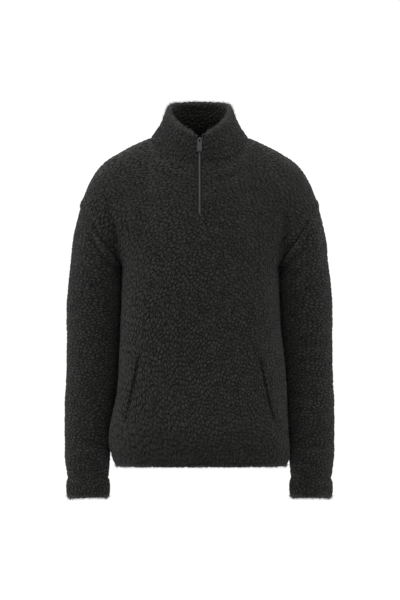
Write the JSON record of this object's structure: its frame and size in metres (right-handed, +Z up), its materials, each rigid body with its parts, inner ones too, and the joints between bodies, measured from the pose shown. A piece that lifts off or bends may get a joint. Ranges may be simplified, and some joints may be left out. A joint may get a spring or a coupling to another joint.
{
  "type": "sherpa sweatshirt",
  "caption": "Charcoal sherpa sweatshirt with a stand collar, quarter zip, dropped shoulders, slanted welt pockets, banded hem and cuffs, in a filled-out hollow form.",
  "frame": {"origin": "midway between the high points of the two shoulders at the base of the neck, where the wearer's shoulders carry the garment", "axes": "+Z up along the body towards the collar, -Y towards the front with the zip, +X to the viewer's right when the front is seen"},
  "size_m": [0.579, 0.2673, 0.852],
  "materials": {
    "front": "matt sherpa pile",
    "back": "matt sherpa pile",
    "sleeve_left": "matt sherpa pile",
    "sleeve_right": "matt sherpa pile",
    "collar": "matt sherpa pile",
    "cuff_left": "matt sherpa pile",
    "cuff_right": "matt sherpa pile",
    "hem_band": "matt sherpa pile",
    "pocket_welt_left": "matt sherpa pile",
    "pocket_welt_right": "matt sherpa pile",
    "zip_tape_left": "matt woven tape",
    "zip_tape_right": "matt woven tape",
    "zip_coil": "satin gunmetal",
    "zip_slider": "satin gunmetal",
    "zip_pull": "satin gunmetal",
    "zip_stop": "satin gunmetal"
  },
  "bodies": {
    "garment": {"front": "front", "back": "back", "sleeve_left": "sleeve_left", "sleeve_right": "sleeve_right", "collar": "collar", "cuff_left": "cuff_left", "cuff_right": "cuff_right", "hem_band": "hem_band", "pocket_welt_left": "pocket_welt_left", "pocket_welt_right": "pocket_welt_right", "zip_tape_left": "zip_tape_left", "zip_tape_right": "zip_tape_right", "zip_coil": "zip_coil", "zip_slider": "zip_slider", "zip_stop": "zip_stop"},
    "pull_tab": {"zip_pull": "zip_pull"}
  },
  "joints": [
    {"name": "pull_tab_hinge", "type": "hinge", "parent": "garment", "child": "pull_tab", "pos_m": [0, -0.0931, 0.00639], "axis": [-1, 0, 0], "range_deg": [0, 150]}
  ]
}
